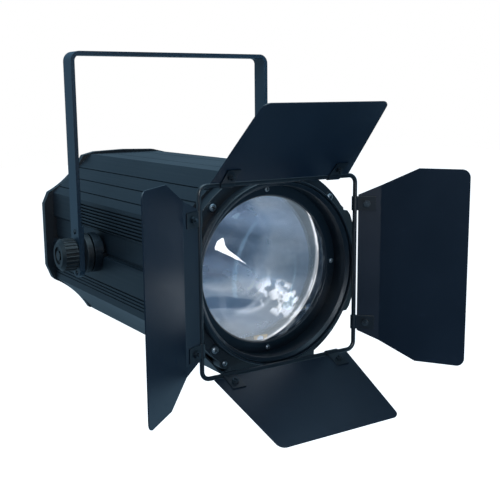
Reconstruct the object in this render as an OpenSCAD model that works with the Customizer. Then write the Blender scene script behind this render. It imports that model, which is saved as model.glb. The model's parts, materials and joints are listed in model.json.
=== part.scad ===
// A long studio spotlight with a smooth condenser lens, hung in a flat yoke.
// The barn door frame turns on the lens barrel, each of its four leaves swings on a rod,
// and a screw moves the lamp carriage behind the lens to focus the beam.
//
// Shapes are drawn about the lens axis: x to the side, y backwards from the plane of the
// rod frame, z up. in_frame() then moves everything so that the origin is the bolt hole
// in the top of the yoke.

/* [Housing] */
// Half width of the housing across its upper sides
side_half = 112; // [110:0.5:114]
// Half height of the housing, to its top and bottom flats
flat_z = 112.5; // [111:0.5:114]
// Half width of the top and bottom flats
flat_half = 53; // [50:0.5:56]
// Height of the corner between side and slope
slope_z = 61; // [58:0.5:62]
// Wall thickness of the extruded shells
shell_wall = 3.5; // [3:0.1:4]
// Where the shells start, behind the rod frame
shell_front = 32; // [32:1:34]
// Where the shells end
shell_back = 399; // [397:1:399]
// Number of cooling grooves high on each side
fin_grooves = 7; // [3:1:7]
// How far back the cooling grooves run
fin_end = 300; // [280:1:320]
// Distance from one cooling groove to the next
fin_pitch = 4.1; // [3.6:0.1:4.2]
// Number of grooves low on each side
low_grooves = 4; // [2:1:4]
// Number of raised seams on each upper slope
plank_seams = 3; // [2:1:3]

/* [Front] */
// Bore of the lens barrel in front of the retaining ring
barrel_bore = 95.5; // [95:0.1:96]
// Outside radius of the lens barrel
barrel_r = 98.6; // [98.4:0.1:98.8]
// Outside radius of the barrel's front flange, which keeps the door ring on
flange_r = 101.2; // [100.8:0.1:101.4]
// Clear radius of the lens
lens_r = 83; // [80:0.5:84]
// Radius of the lens's curved face
lens_curve = 141; // [130:1:160]
// Depth of the lens's rim behind the rod frame
lens_depth = 31; // [30.8:0.1:31.2]
// Distance of the corner screws from the axis, in x and in z
corner = 77.5; // [76:0.5:78]

/* [Barn doors] */
// Side of the square rod frame, between rod centres
rod_side = 205; // [204:0.5:206]
// Radius of the rod
rod_r = 2.5; // [2.2:0.1:2.8]
// Bend radius of the frame's corners, at the rod's centre
rod_bend = 9; // [6:0.5:12]
// Outside radius of the door ring
ring_r = 104.2; // [103.8:0.1:104.6]
// Angle of the top leaf, forward from the plane of the frame
top_open = 45; // [20:1:80]
// Angle of the bottom leaf
bottom_open = 68; // [20:1:80]
// Angle of the right leaf
right_open = 43; // [20:1:75]
// Angle of the left leaf
left_open = 27; // [20:1:75]
// Fold between a side leaf's flange and its panel
side_fold = 14; // [5:1:20]
// Length of the top and bottom leaves
end_leaf_len = 117.5; // [100:0.5:120]
// Length of a side leaf's panel beyond its fold
side_panel_len = 99.8; // [80:0.2:100]
// Thickness of the leaves and clips
sheet = 1.2; // [1:0.1:1.5]

/* [Yoke] */
// Distance of the tilt axis behind the rod frame
pivot_y = 247; // [240:1:250]
// Height of the yoke's top face above the tilt axis
yoke_rise = 247; // [245:1:260]
// Half width of the yoke, to the outside of its arms
yoke_half = 141; // [140:0.5:144]
// Width of the strap
strap_w = 25; // [22:1:28]
// Thickness of the strap
strap_t = 5; // [4.5:0.1:5]
// Radius of the yoke's central bolt hole
bolt_hole_r = 6.5; // [5:0.1:7]
// Distance between the yoke's two side holes
side_hole_gap = 90; // [60:2:120]
// Outside radius of the clamp knobs
knob_r = 20.5; // [19:0.5:21]
// Radius of the tilt studs
stud_r = 5; // [4:0.1:5]

/* [Lamp and zoom] */
// Plane of the lamp carriage plate at rest
carriage_y = 140; // [135:1:150]
// Radius of the lead screw
screw_r = 4; // [3:0.5:4]
// Height of the lead screw below the axis
screw_drop = 77; // [76.5:0.5:77.5]
// Radius of the guide rods
guide_r = 4; // [3:0.5:4]

/* [Rear] */
// Half width of the rear cap at its ears
ear_half = 125; // [122:0.5:126]
// Thickness of the rear cap
cap_t = 10; // [8:0.5:12]
// Clear radius of the fan opening
fan_r = 42; // [38:0.5:43]
// Radius of the menu buttons
button_r = 4; // [3:0.5:4.5]

/* [Hidden] */

$fn = 96;
eps = 0.05;            // running clearance on a radius
gap = 0.1;             // gap between faces that slide past each other

// Housing section
groove = 2;            // width of a cooling groove
groove_deep = 3.5;     // depth of a cooling groove
fin_top = 56;          // height of the highest cooling groove
recess = 3;            // depth of the smooth band under the grooves
recess_top = 29;       // upper edge of that band
rail_low = -3.5;       // lower edge of the rail slot
rail_high = 0.5;       // upper edge of the rail slot
joint_z = -0.5;        // joint between the shells, at the back of the rail slot
low_half = side_half + 2;
tongue_x = side_half - 4;
low_groove_top = -37;  // height of the first low groove
low_groove_pitch = 4.3;
low_groove_w = 1.8;
low_groove_deep = 2;
seam_w = 1.4;          // width of a seam on the upper slope
seam_deep = 1.5;
top_seam_x = 24;       // two seams run along the top flat
low_slope_x = 60.5;     // half width of the bottom flat
low_slope_z = 62;      // height of the lower corner
hollow_r = 255;        // radius of the shallow hollow along the lower slope
hollow_x = 264.5;
hollow_z = 266;
port_r = [8.5, 9.5];   // screw ports inside the upper and lower shell
boss_r = 6;            // small bosses round the front screws
m5 = 2.5;
shell_len = shell_back - shell_front;

// Front
frame_front = 16;      // front face of the cast frame
frame_r = 116.5;       // outside radius of its round part
lug = 113;             // half width over its four lugs
flange_front = 5.5;
flange_back = 8.5;
barrel_back = 41.5;
seat_y = 38.2;         // shoulder behind the lens
lens_back = 37;
lens_edge_r = 85;
retainer_front = 28;
retainer_screw_r = 90.5;
m3 = 1.5;

// Barn doors
half_side = rod_side / 2;
leaf_edge = 3.9;       // where a leaf's sheet starts, from the rod's centre
end_leaf_root = 90;    // half width of the top and bottom leaves at the hinge
end_leaf_tip = 77.5;   // half width at the outer edge
flange_len = 29.4;     // a side leaf's flange, from the rod's centre
flange_root = 80;
flange_fold = 91;
panel_half = 111.4;    // half height of a side leaf's panel
panel_shoulder = 43.4; // where the panel reaches that height
leaf_corner = 9;
clip_at = 70;          // clip centres along the hinge
clip_w = 16;
clip_len = 24;
clip_wall = 1.2;
clip_screw_u = 14;
m4 = 2;

// Yoke
bend_r = 12;           // outside radius of the yoke's bends
arm_drop = 30;         // arm below the tilt axis
doubler_t = 2;
rivet_z = 28;
disc_r = 25;
boss_out = 124.5;
disc_in = 126;
arm_in = yoke_half - strap_t;

// Rear
cap_back = shell_back + cap_t;
cap_arch_z = 117;
ear_top = 46;          // where an ear's straight side ends, above and below the axis
ear_low = 41;
ear_top_x = 117.5;
ear_top_z = 62;
crown_x = 64.5;
crown_z = 111;
scoop_r = 118;         // radius of the scooped corners
fan_z = 42;            // height of the fan's centre
panel_z = -24;
panel_w = 110;
panel_h = 36;
button_x = [8, 19, 30, 41];
button_travel = 1.5;
socket_z = -76;
inlet_x = -50;
outlet_x = -14;
data_x = [20, 48];

function mirrored(pts) = concat(pts, [for (i = [len(pts) - 1 : -1 : 0]) [-pts[i][0], pts[i][1]]]);

module in_frame() translate([0, -pivot_y, -yoke_rise]) children();
module turned() rotate([-90, 0, 0]) rotate_extrude($fn = 180) children();
module rod_y(y0, y1, r) translate([0, y0, 0]) rotate([-90, 0, 0]) cylinder(h = y1 - y0, r = r);
module rod_x(x0, x1, r) translate([x0, 0, 0]) rotate([0, 90, 0]) cylinder(h = x1 - x0, r = r);
module extruded_y(y0, y1) translate([0, y1, 0]) rotate([90, 0, 0]) linear_extrude(height = y1 - y0) children();
module box(low, high) translate(low) cube(high - low);
module at_pivot() translate([0, pivot_y, 0]) children();
module left() mirror([1, 0, 0]) children();
module four_corners(d) for (sx = [-1, 1], sz = [-1, 1]) translate([sx * d, 0, sz * d]) children();

// ---- Housing shells -------------------------------------------------------

// The upper slope runs from [flat_half, flat_z] down to [side_half, slope_z].
function slope_point(t) = [flat_half + t * (side_half - flat_half), flat_z - t * (flat_z - slope_z)];
slope_angle = atan2(slope_z - flat_z, side_half - flat_half);

module upper_outline() polygon(mirrored([
    [0, flat_z], [flat_half, flat_z], [side_half, slope_z], [side_half, recess_top],
    [side_half - recess, recess_top - recess], [side_half - recess, rail_high],
    [tongue_x, rail_high], [tongue_x, joint_z],
    [0, joint_z]
]));

module upper_hollow() {
    wall_x = side_half - shell_wall - groove_deep;
    polygon(mirrored([
        [0, flat_z - shell_wall], [flat_half - 1.4, flat_z - shell_wall],
        [wall_x, slope_z - 1], [wall_x, joint_z - 1], [0, joint_z - 1]
    ]));
}

module side_grooves(x, top, count, pitch, w, deep)
    for (s = [-1, 1], i = [0 : count - 1])
        translate([s * (x - deep / 2 + 1), top - i * pitch - w / 2])
            square([deep + 2, w], center = true);

module corner_rods(s, r) for (sx = [-1, 1]) translate([sx * corner, 0, s * corner])
    rod_y(shell_front, shell_back, r);

module slope_seams() for (s = [-1, 1], i = [1 : plank_seams]) {
    p = slope_point(0.1 + i * 0.246);
    translate([s * p[0], p[1]]) rotate(s * slope_angle) square([seam_w, 2 * seam_deep], center = true);
}

module shell_top() color("#1d2a33") difference() {
    union() {
        extruded_y(shell_front, shell_back) difference() {
            upper_outline();
            upper_hollow();
            slope_seams();
            for (s = [-1, 1]) translate([s * top_seam_x, flat_z]) square([seam_w, 2 * seam_deep], center = true);
        }
        corner_rods(1, port_r[0]);
    }
    extruded_y(shell_front - 1, fin_end)
        side_grooves(side_half, fin_top, fin_grooves, fin_pitch, groove, groove_deep);
    port_holes();
    stud_holes();
}

module port_holes() four_corners(corner) rod_y(shell_front - 1, shell_back + 1, m5);

module stud_holes() at_pivot() rod_x(-low_half - 1, low_half + 1, stud_r + 0.3);

module lower_outline() polygon(mirrored([
    [0, joint_z], [tongue_x, joint_z], [tongue_x, rail_low], [low_half, rail_low], [low_half + 1, -8],
    [low_half, low_groove_top + 2], [low_half - 1, -low_slope_z], [low_slope_x, -flat_z], [0, -flat_z]
]));

module lower_hollow() {
    wall_x = tongue_x - shell_wall;
    polygon(mirrored([
        [0, joint_z + 1], [wall_x, joint_z + 1], [wall_x, -low_slope_z + 2],
        [low_slope_x - 1.4, -flat_z + shell_wall], [0, -flat_z + shell_wall]
    ]));
}

module shell_bottom() color("#22303a") difference() {
    union() {
        extruded_y(shell_front, shell_back) difference() {
            lower_outline();
            lower_hollow();
            side_grooves(low_half, low_groove_top, low_grooves, low_groove_pitch, low_groove_w, low_groove_deep);
        }
        corner_rods(-1, port_r[1]);
    }
    for (s = [-1, 1]) translate([s * hollow_x, 0, -hollow_z]) rod_y(shell_front - 1, shell_back + 1, hollow_r, $fn = 360);
    port_holes();
    stud_holes();
}

// ---- Front frame, barrel and lens -----------------------------------------

// The rear cap's outline: an ear at each side, a low crown, and a scooped corner between them.
module cap_outline() {
    chord = norm([ear_top_x - crown_x, crown_z - ear_top_z]);
    mid = [(ear_top_x + crown_x) / 2, (crown_z + ear_top_z) / 2];
    out = [crown_z - ear_top_z, ear_top_x - crown_x] / chord;
    centre = mid + out * sqrt(scoop_r * scoop_r - chord * chord / 4);
    difference() {
        polygon(mirrored([
            [0, cap_arch_z], [46, cap_arch_z - 1.5], [crown_x, crown_z], [ear_top_x, ear_top_z], [ear_half, ear_top],
            [ear_half, -ear_low], [ear_top_x, 2 - ear_top_z], [crown_x, -crown_z], [0, -cap_arch_z]
        ]));
        for (sx = [-1, 1], sz = [-1, 1]) translate([sx * centre[0], sz * centre[1]])
            circle(r = scoop_r, $fn = 180);
    }
}

// A round plate that grows into a flat lug at the top, the bottom and both sides.
module frame_outline() {
    intersection() {
        circle(r = frame_r, $fn = 180);
        square(2 * lug, center = true);
    }
    polygon(mirrored([[0, lug], [54, lug], [57, lug - 5], [58, 60], [105, 60], [109, 55], [lug, 45],
        [lug, -45], [109, -55], [105, -60], [58, -60], [57, 5 - lug], [54, -lug], [0, -lug]]));
}

module front_frame() color("#1a242c") difference() {
    union() {
        extruded_y(frame_front, shell_front) frame_outline();
        four_corners(corner) rod_y(frame_front, shell_front, boss_r);
        translate([-65, 0, -95]) rod_y(frame_front, shell_front, boss_r + 0.5);
    }
    rod_y(frame_front - 1, shell_front + 1, barrel_r + gap, $fn = 180);
    four_corners(corner) rod_y(frame_front - 1, shell_front + 1, m5 + 0.25);
    small_screw(0.1);
}

// One more screw at the lower left.
module small_screw(grow) translate([-65, 0, -95]) {
    rod_y(frame_front - 2, frame_front, 3.2 + grow);
    rod_y(frame_front, frame_front + 9, m3 + grow);
}

module lens_barrel() color("#161d24") difference() {
    turned() polygon([
        [flange_r, flange_front], [flange_r, flange_back], [barrel_r, flange_back],
        [barrel_r, barrel_back], [lens_r - 3, barrel_back], [lens_r - 3, seat_y],
        [lens_edge_r + 0.3, seat_y], [lens_edge_r + 0.3, lens_depth], [barrel_bore, lens_depth],
        [barrel_bore, 17], [barrel_bore + 0.8, flange_back], [flange_r - 1.5, flange_front]
    ]);
    retainer_pattern() rod_y(lens_depth - 1, seat_y, m3);
}

module retainer_pattern() for (a = [0 : 90 : 270])
    rotate([0, a, 0]) translate([retainer_screw_r, 0, 0]) children();

module lens_gasket() color("#101214") turned()
    polygon([[lens_r - 2.5, lens_back], [lens_edge_r, lens_back], [lens_edge_r, seat_y], [lens_r - 2.5, seat_y]]);

lens_apex = lens_depth - (lens_curve - sqrt(lens_curve * lens_curve - lens_r * lens_r));

module lens() color("#a9bccb") intersection() {
    translate([0, lens_apex + lens_curve, 0]) sphere(r = lens_curve, $fn = 180);
    rod_y(lens_apex - 1, lens_back, lens_edge_r, $fn = 180);
}

module lens_retainer() color("#181f26") difference() {
    turned() polygon([
        [lens_r, lens_depth - 0.8], [lens_r + 1, lens_depth], [barrel_bore - gap, lens_depth],
        [barrel_bore - gap, retainer_front], [lens_r + 1.5, retainer_front]
    ]);
    retainer_pattern() rod_y(retainer_front - 1, lens_depth + 1, m3 + 0.1);
}

module retainer_screws() color("#8a939c") retainer_pattern() {
    rod_y(retainer_front - 1.8, retainer_front, 2.9);
    rod_y(retainer_front, seat_y - 1, m3 - 0.05);
}

module pan_screw(y, len, r, head, t) {
    rod_y(y - t, y, head);
    rod_y(y, y + len, r);
}

module front_screws() color("#9aa2aa") {
    four_corners(corner) {
        rod_y(frame_front - 1, frame_front, 5.4);
        pan_screw(frame_front - 1, 25, m5 - eps, 4.4, 2.4);
    }
    small_screw(-0.1);
}

// ---- Rear cap and its fittings --------------------------------------------

module rear_cap() color("#1b262e") difference() {
    extruded_y(shell_back, cap_back) difference() {
        cap_outline();
        translate([0, fan_z]) circle(r = fan_r, $fn = 120);
        translate([0, panel_z]) square([panel_w - 12, panel_h - 12], center = true);
        translate([inlet_x, socket_z]) square([27, 20], center = true);
        translate([outlet_x, socket_z]) square([27, 20], center = true);
        for (x = data_x) translate([x, socket_z]) circle(r = 11.2, $fn = 60);
        translate([70, -48]) circle(r = 6.2, $fn = 48);
        for (s = [-1, 1], i = [0 : 6]) translate([s * 88, 30 - i * 9]) square([34, 3], center = true);
    }
    four_corners(corner) rod_y(shell_back - 1, cap_back + 1, m5 + 0.25);
    guard_points() rod_y(shell_back - 1, cap_back + 1, m3 + 0.1);
    translate([0, 0, eye_z]) rod_y(shell_back - 1, cap_back + 1, 3.1);
}

eye_z = 101;

module guard_points() for (sx = [-1, 1], sz = [-1, 1])
    translate([sx * 41, 0, fan_z + sz * 41]) children();

module rear_screws() color("#9aa2aa") mirror([0, 1, 0]) translate([0, -2 * cap_back, 0]) {
    four_corners(corner) pan_screw(cap_back, 22, m5 - eps, 4.4, 2.4);
    guard_points() pan_screw(cap_back - 2, 32, m3, 2.9, 1.8);
}

module fan_guard() color("#2a3138") {
    difference() {
        translate([0, 0, fan_z]) {
            turned() for (r = [10 : 8 : 42]) translate([r, cap_back + 1]) circle(r = 0.9, $fn = 24);
            for (a = [45, 135]) rotate([0, a, 0]) extruded_y(cap_back + 0.2, cap_back + 1.6)
                square([116, 2.6], center = true);
            for (sx = [-1, 1], sz = [-1, 1]) translate([sx * 41, 0, sz * 41]) rod_y(cap_back, cap_back + 2, 4.5);
        }
        guard_points() rod_y(cap_back - 1, cap_back + 4, m3 + 0.1);
    }
}

module fan_frame() color("#15191d") difference() {
    box([-46, shell_back - 26, fan_z - 46], [46, shell_back, fan_z + 46]);
    translate([0, 0, fan_z]) difference() {
        rod_y(shell_back - 22, shell_back + 1, fan_r + 1);
        rod_y(shell_back - 23, shell_back - 8, 2);
    }
    translate([0, 0, fan_z]) for (a = [45 : 90 : 315]) rotate([0, a, 0])
        translate([28, 0, 0]) rod_y(shell_back - 27, shell_back - 20, 13);
    guard_points() rod_y(shell_back - 27, shell_back + 1, m3 + 0.1);
}

module fan_rotor() color("#20252a") translate([0, 0, fan_z]) {
    difference() {
        rod_y(shell_back - 21, shell_back - 3, 17);
        rod_y(shell_back - 22, shell_back - 7, 2 + eps);
    }
    for (a = [0 : 360 / 7 : 359]) rotate([0, a, 0]) translate([27, shell_back - 12, 0])
        rotate([35, 0, 0]) cube([24, 1.6, 16], center = true);
}

module control_panel() color("#101418") difference() {
    extruded_y(cap_back, cap_back + 2) translate([0, panel_z]) difference() {
        square([panel_w, panel_h], center = true);
        translate([-26, 0]) square([42, 20], center = true);
    }
    for (x = button_x) translate([x, 0, panel_z]) rod_y(cap_back - 1, cap_back + 3, button_r + eps);
}

module display_window() color("#2b3f52") extruded_y(cap_back + 0.2, cap_back + 1.8)
    translate([-26, panel_z]) square([42, 20], center = true);

module menu_button(i) color("#3a4248") translate([button_x[i], 0, panel_z]) {
    rod_y(cap_back - 5, cap_back + 3.5, button_r);
    rod_y(cap_back - 5, cap_back - 0.1, button_r + 1);
}

module socket(x, w, h) translate([x, 0, socket_z]) difference() {
    union() {
        extruded_y(cap_back, cap_back + 2) square([w + 6, h + 8], center = true);
        extruded_y(cap_back - 22, cap_back) square([w, h], center = true);
    }
    extruded_y(cap_back - 16, cap_back + 3) square([w - 6, h - 6], center = true);
}

module power_inlet() color("#14181b") {
    socket(inlet_x, 27, 20);
    for (x = [-6, 0, 6]) translate([inlet_x + x, cap_back - 16, socket_z - 3]) box([-1, 0, 0], [1, 12, 6]);
}

module power_outlet() color("#2b2f33") {
    socket(outlet_x, 27, 20);
    translate([outlet_x, cap_back - 16, socket_z]) box([-8, 0, -3], [8, 12, 3]);
}

module data_sockets() color("#8c9298") for (x = data_x) translate([x, 0, socket_z]) {
    difference() {
        union() {
            extruded_y(cap_back, cap_back + 2) square([26, 30], center = true);
            rod_y(cap_back - 20, cap_back, 11);
        }
        rod_y(cap_back - 14, cap_back + 3, 9);
    }
    for (a = [90 : 120 : 330]) rotate([0, a, 0]) translate([4.5, 0, 0]) rod_y(cap_back - 14, cap_back - 3, 1.1);
}

module fuse_holder() color("#101214") translate([70, 0, -48]) {
    rod_y(cap_back - 24, cap_back, 6);
    difference() {
        rod_y(cap_back, cap_back + 7, 8);
        extruded_y(cap_back + 5, cap_back + 8) square([11, 1.6], center = true);
    }
}

module safety_eye() color("#aab0b6") translate([0, 0, eye_z]) {
    rod_y(cap_back - 14, cap_back, 3);
    rod_y(cap_back, cap_back + 3, 6);
    translate([0, cap_back + 14, 0]) rotate([0, 90, 0]) rotate_extrude($fn = 90) translate([9.5, 0]) circle(r = 3, $fn = 36);
}

// ---- Tilt pivots ----------------------------------------------------------

module pivot_boss() color("#2a3640") at_pivot() difference() {
    union() {
        rod_x(low_half + 1, boss_out, disc_r);
        box([tongue_x, -20, rail_low + 0.25], [low_half + 1, 20, rail_high - 0.25]);
        difference() {
            rod_x(side_half, low_half + 1, disc_r - 2);
            box([side_half - 1, -disc_r, -disc_r], [low_half + 2, disc_r, rail_high + 2]);
        }
        rod_x(boss_out, disc_in - gap, disc_r - 4);
    }
    rod_x(tongue_x - 1, disc_in + 1, stud_r + eps);
}

module pivot_studs() color("#9aa2aa") at_pivot() for (s = [0, 1]) mirror([s, 0, 0]) {
    rod_x(tongue_x - shell_wall, yoke_half + 14, stud_r);
    translate([tongue_x - shell_wall - 7, 0, 0]) rotate([0, 90, 0]) cylinder(h = 7, r = 9, $fn = 6);
}

// ---- Lamp engine ----------------------------------------------------------

module bulkhead(y0, hole) difference() {
    extruded_y(y0, y0 + 4) polygon(mirrored([
        [0, 108], [50, 108], [101, 58], [101, 0], [tongue_x - shell_wall, 0],
        [tongue_x - shell_wall, -57], [50, -108], [0, -108]
    ]));
    rod_y(y0 - 1, y0 + 5, hole);
    for (s = [0, 1]) mirror([s, 0, 0]) {
        translate([corner, 0, corner]) rod_y(y0 - 1, y0 + 5, port_r[0] + 0.5);
        translate([corner, 0, -corner]) rod_y(y0 - 1, y0 + 5, port_r[1] + 0.5);
    }
    for (s = [-1, 1]) translate([s * guide_x, 0, guide_z]) rod_y(y0 - 1, y0 + 5, guide_r + 0.02);
}

guide_x = 58;
guide_z = -50;
bulk_front = barrel_back;
bulk_back = 300;
tunnel_r = 87;
tunnel_back = 215;

module bulkheads() color("#7d868e") {
    bulkhead(bulk_front, tunnel_r - 7);
    difference() {
        bulkhead(bulk_back, 20);
        translate([0, 0, -screw_drop]) rod_y(bulk_back - 1, bulk_back + 5, screw_r + 4);
    }
}

module light_tunnel() color("#c9d0d6") difference() {
    turned() polygon([[tunnel_r, bulk_front + 4], [tunnel_r + 1.2, bulk_front + 4],
        [tunnel_r + 1.2, tunnel_back], [tunnel_r, tunnel_back]]);
    translate([0, 0, -screw_drop]) box([-9, bulk_front + 3, -14], [9, 70, 0]);
}

module guide_rods() color("#c3c8cc") for (s = [-1, 1])
    translate([s * guide_x, 0, guide_z]) rod_y(bulk_front, bulk_back + 4, guide_r);

module screw_bearing() color("#b98f3e") translate([0, 0, -screw_drop]) difference() {
    box([-8, bulk_front + 4, -8], [8, bulk_front + 16, 5]);
    rod_y(bulk_front + 3, bulk_front + 17, screw_r + eps);
}

module lead_screw() color("#b8bcc0") translate([0, 0, -screw_drop])
    rod_y(bulk_front + 4.5, bulk_back + 15, screw_r);

module zoom_motor() color("#2a2f34") translate([0, 0, -screw_drop]) difference() {
    union() {
        box([-21, bulk_back + 5, -21], [21, bulk_back + 45, 21]);
        rod_y(bulk_back + 4, bulk_back + 5, 11);
    }
    for (sx = [-1, 1], sz = [-1, 1]) translate([sx * 21, bulk_back + 4, sz * 21]) rotate([0, 45, 0])
        cube([5, 90, 5], center = true);
    rod_y(bulk_back + 3, bulk_back + 16, screw_r + eps);
}

module driver_board() color("#1f5a3a") {
    box([-70, bulk_back + 4, 36], [70, bulk_back + 62, 37.6]);
    for (x = [-52, -20, 14, 46]) translate([x, bulk_back + 34, 37.6]) cylinder(h = 18, r = 8, $fn = 40);
    box([-66, bulk_back + 4, -46], [66, bulk_back + 60, 20]);
}

module carriage_plate() color("#aeb6bd") difference() {
    union() {
        rod_y(carriage_y, carriage_y + 4, tunnel_r - 3);
        for (s = [-1, 1]) translate([s * guide_x, 0, guide_z]) rod_y(carriage_y + 4, carriage_y + 24, guide_r + 4);
        translate([0, 0, -screw_drop]) rod_y(carriage_y - 8, carriage_y + 8, 7.5);
    }
    for (s = [-1, 1]) translate([s * guide_x, 0, guide_z]) rod_y(carriage_y - 1, carriage_y + 30, guide_r + eps);
    translate([0, 0, -screw_drop]) rod_y(carriage_y - 10, carriage_y + 10, screw_r + eps);
}

module heat_sink() color("#9aa3ab") {
    box([-48, carriage_y + 4, -38], [48, carriage_y + 12, 56]);
    for (i = [0 : 12]) box([-48 + i * 7.83, carriage_y + 12, -38], [-46 + i * 7.83, carriage_y + 64, 56]);
}

module led_array() color("#e8d36a") {
    rod_y(carriage_y - 3, carriage_y, 26);
    rod_y(carriage_y - 5, carriage_y - 3, 16);
}

module reflector() color("#d7dde2") turned() polygon([
    [27, carriage_y], [69, carriage_y - 62], [71.5, carriage_y - 62], [71.5, carriage_y - 60.8],
    [70, carriage_y - 60.8], [29, carriage_y]
]);

// ---- Barn doors -----------------------------------------------------------

module door_ring() color("#1a2229") turned() difference() {
    polygon([
        [barrel_r + eps, flange_back + 0.4], [flange_r + 0.4, flange_back + 0.4], [flange_r + 0.4, rod_r],
        [ring_r - 1, rod_r], [ring_r, rod_r + 1.5], [ring_r, frame_front - 0.4],
        [barrel_r + eps, frame_front - 0.4]
    ]);
    for (y = [4.6, 7.4]) translate([ring_r - 0.9, y]) square([2, 1.1]);
}

module rod_frame() color("#232c33") {
    straight = rod_side - 2 * rod_bend;
    for (a = [0 : 90 : 270]) rotate([0, a, 0]) {
        translate([half_side, 0, -straight / 2]) cylinder(h = straight, r = rod_r, $fn = 36);
        translate([half_side - rod_bend, 0, half_side - rod_bend]) rotate([90, 0, 0])
            rotate_extrude(angle = 90, $fn = 96) translate([rod_bend, 0]) circle(r = rod_r, $fn = 36);
        box([half_side - 1, 0, -5], [half_side + 0.7, rod_r, 5]);
    }
}

// A leaf is drawn upright: the rod along x, the sheet up z, its inner face towards -y.
module on_rod(turn, open) rotate([0, turn, 0]) translate([0, 0, half_side]) rotate([open, 0, 0]) children();
module sheet_of() rotate([90, 0, 0]) linear_extrude(height = sheet, center = true) children();
module clip_holes() for (s = [-1, 1]) translate([s * clip_at, clip_screw_u]) circle(r = m4 + 0.1, $fn = 36);

module end_leaf() sheet_of() difference() {
    taper = (end_leaf_root - end_leaf_tip) / (end_leaf_len - leaf_edge);
    lean = sqrt(1 + taper * taper);
    cu = end_leaf_len - leaf_corner;
    cw = end_leaf_tip + taper * leaf_corner - leaf_corner * lean;
    union() {
        polygon(mirrored([
            [0, leaf_edge], [end_leaf_root, leaf_edge], [cw + leaf_corner / lean, cu + leaf_corner * taper / lean],
            [cw, end_leaf_len], [0, end_leaf_len]
        ]));
        for (s = [-1, 1]) translate([s * cw, cu]) circle(r = leaf_corner, $fn = 72);
    }
    clip_holes();
}

module side_leaf() {
    sheet_of() difference() {
        polygon(mirrored([[0, leaf_edge], [flange_root, leaf_edge], [flange_fold, flange_len], [0, flange_len]]));
        clip_holes();
    }
    translate([0, 0, flange_len]) rod_x(0.3 - flange_fold, flange_fold - 0.3, sheet / 2 + 0.12, $fn = 24);
    translate([0, 0, flange_len]) rotate([side_fold, 0, 0]) sheet_of() {
        polygon(mirrored([
            [0, 0], [flange_fold, 0], [panel_half, panel_shoulder], [panel_half, side_panel_len - leaf_corner],
            [panel_half - leaf_corner, side_panel_len], [0, side_panel_len]
        ]));
        for (s = [-1, 1]) translate([s * (panel_half - leaf_corner), side_panel_len - leaf_corner])
            circle(r = leaf_corner, $fn = 72);
    }
}

// Two sheet clips wrap the rod, each with a leg on both faces of the leaf.
module leaf_clips() for (s = [-1, 1]) translate([s * clip_at, 0, 0]) difference() {
    union() {
        rod_x(-clip_w / 2, clip_w / 2, rod_r + eps + clip_wall, $fn = 48);
        box([-clip_w / 2, -sheet / 2 - clip_wall, 2.9], [clip_w / 2, -sheet / 2, clip_len]);
        box([-clip_w / 2, sheet / 2, 2.9], [clip_w / 2, sheet / 2 + clip_wall, clip_len - 3]);
    }
    rod_x(-clip_w, clip_w, rod_r + eps, $fn = 48);
    translate([0, 0, clip_screw_u]) rod_y(-5, 5, m4 + 0.1);
}

// The heads are on the outer face, and the nuts on the inner one with the screw's end through them.
module leaf_screws() for (s = [-1, 1]) translate([s * clip_at, 0, clip_screw_u]) {
    face = sheet / 2 + clip_wall;
    mirror([0, 1, 0]) pan_screw(-face, 2 * face + 5.5, m4, 3.6, 2);
    difference() {
        translate([0, -face, 0]) rotate([90, 0, 0]) cylinder(h = 3, r = 4, $fn = 6);
        rod_y(-face - 4, 1 - face, m4);
    }
}

// ---- Yoke -----------------------------------------------------------------

// A quarter ring between the yoke's top and an arm, drawn in x and z.
module strap_bend() difference() {
    circle(r = bend_r, $fn = 96);
    circle(r = bend_r - strap_t, $fn = 96);
    translate([-bend_r, -2 * bend_r]) square([2 * bend_r, 2 * bend_r]);
    translate([-2 * bend_r, -bend_r]) square([2 * bend_r, 2 * bend_r]);
}

module yoke_strap() color("#26333d") at_pivot() difference() {
    union() {
        box([-yoke_half + bend_r, -strap_w / 2, yoke_rise - strap_t], [yoke_half - bend_r, strap_w / 2, yoke_rise]);
        for (s = [0, 1]) mirror([s, 0, 0]) {
            box([arm_in, -strap_w / 2, -arm_drop + strap_w / 2], [yoke_half, strap_w / 2, yoke_rise - bend_r]);
            extruded_y(-strap_w / 2, strap_w / 2) translate([yoke_half - bend_r, yoke_rise - bend_r]) strap_bend();
            translate([0, 0, -arm_drop + strap_w / 2]) rod_x(arm_in, yoke_half, strap_w / 2);
        }
    }
    translate([0, 0, yoke_rise - strap_t - 1]) cylinder(h = strap_t + 2, r = bolt_hole_r);
    for (s = [-1, 1]) translate([s * side_hole_gap / 2, 0, yoke_rise - strap_t - 1])
        cylinder(h = strap_t + 2, r = 4.5);
    rod_x(-yoke_half - 1, yoke_half + 1, stud_r + eps);
    rivet_points() rod_x(-yoke_half - 1, yoke_half + 1, m4);
}

module rivet_points() for (z = [rivet_z, -arm_drop + 5.5]) translate([0, 0, z]) children();

module yoke_doublers() color("#26333d") at_pivot() for (s = [0, 1]) mirror([s, 0, 0]) difference() {
    union() {
        box([arm_in - doubler_t, -strap_w / 2, -arm_drop + strap_w / 2], [arm_in, strap_w / 2, rivet_z + 8]);
        translate([0, 0, -arm_drop + strap_w / 2]) rod_x(arm_in - doubler_t, arm_in, strap_w / 2);
    }
    rod_x(arm_in - doubler_t - 1, arm_in + 1, stud_r + eps);
    rivet_points() rod_x(arm_in - doubler_t - 1, arm_in + 1, m4);
}

module yoke_rivets() color("#8c959d") at_pivot() for (s = [0, 1]) mirror([s, 0, 0]) rivet_points() {
    rod_x(arm_in - doubler_t, yoke_half, m4 - 0.02);
    rod_x(yoke_half, yoke_half + 1.6, 3.4);
}

module yoke_disc() color("#2a3640") at_pivot() difference() {
    rod_x(disc_in, arm_in - doubler_t, disc_r);
    rod_x(disc_in - 1, arm_in, stud_r + eps);
}

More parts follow.
